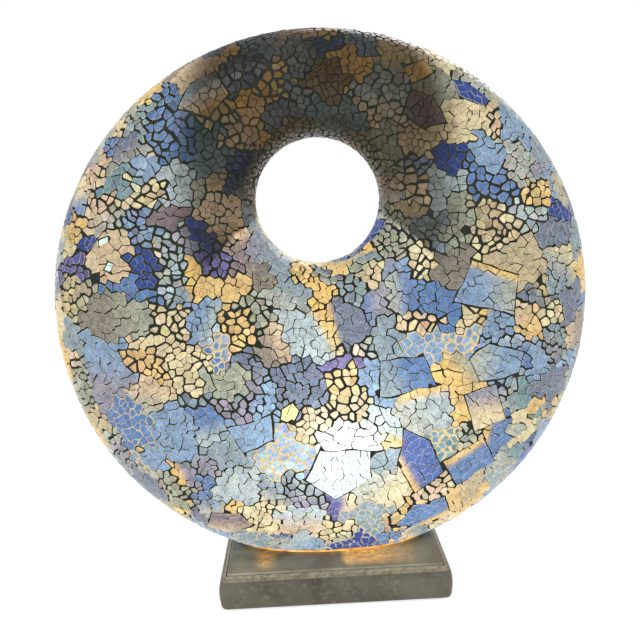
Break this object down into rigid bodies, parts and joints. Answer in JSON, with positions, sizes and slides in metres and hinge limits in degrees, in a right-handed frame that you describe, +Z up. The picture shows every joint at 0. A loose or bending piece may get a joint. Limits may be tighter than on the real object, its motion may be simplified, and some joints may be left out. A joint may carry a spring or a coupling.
{
  "type": "table lamp",
  "caption": "Table lamp with an off-centre ring shade of crackle-glass mosaic on a moulded shell, a rectangular silver plinth and a screw-in candle bulb.",
  "frame": {"origin": "on the surface the lamp stands on, under the middle of the lamp", "axes": "+Z up, +X to the right seen from the front, -Y towards the front, where the ring faces"},
  "size_m": [0.36, 0.114, 0.3743],
  "materials": {
    "mosaic_glass": "crackled mosaic glass in dark grout, lit from behind",
    "shade_resin": "translucent cream moulded resin",
    "amber_silicone": "translucent amber",
    "plated_steel": "zinc plated",
    "antique_silver": "antique silver with brown patina",
    "felt": "black felt",
    "black_rubber": "matt black",
    "black_phenolic": "black phenolic",
    "cream_ceramic": "glazed cream ceramic",
    "brass": "plain brass",
    "tin_solder": "tinned",
    "black_glass": "black vitrite glass",
    "nickel_cap": "nickel plated",
    "bulb_glass": "clear glass",
    "filament": "yellow coated filament"
  },
  "bodies": {
    "lamp": {"mosaic_front": "mosaic_glass", "mosaic_rear": "mosaic_glass", "shade_shell_front": "shade_resin", "shade_shell_rear": "shade_resin", "shade_gasket": "amber_silicone", "shade_crossbar_left": "plated_steel", "shade_crossbar_right": "plated_steel", "shade_screw_left": "plated_steel", "shade_screw_right": "plated_steel", "plinth_slab": "antique_silver", "plinth_top_panel": "antique_silver", "bottom_plate": "plated_steel", "plate_screw_1": "plated_steel", "plate_screw_2": "plated_steel", "plate_screw_3": "plated_steel", "plate_screw_4": "plated_steel", "foot_pad_1": "felt", "foot_pad_2": "felt", "foot_pad_3": "felt", "foot_pad_4": "felt", "cord_inlet_bush": "black_rubber", "threaded_tube": "plated_steel", "lock_nut_lower": "plated_steel", "lock_washer": "plated_steel", "lock_nut_upper": "plated_steel", "holder_cap": "black_phenolic", "holder_body": "black_phenolic", "holder_block": "cream_ceramic", "holder_contact": "brass", "holder_screw_shell": "brass"},
    "bulb_tip": {"bulb_contact": "tin_solder", "bulb_insulator": "black_glass"},
    "bulb": {"bulb_cap": "nickel_cap", "bulb_glass": "bulb_glass", "bulb_stem": "bulb_glass", "bulb_filament": "filament"}
  },
  "joints": [
    {"name": "bulb_rise", "type": "slide", "parent": "lamp", "child": "bulb_tip", "axis": [0, 0, 1], "range_m": [0, 0.0113]},
    {"name": "bulb_turn", "type": "hinge", "parent": "bulb_tip", "child": "bulb", "pos_m": [0, 0, 0.05], "axis": [0, 0, 1], "range_deg": [0, 1440]}
  ],
  "couplings": [
    {"joint": "bulb_rise", "follows": "bulb_turn", "m_per_rad": 0.00044882}
  ]
}
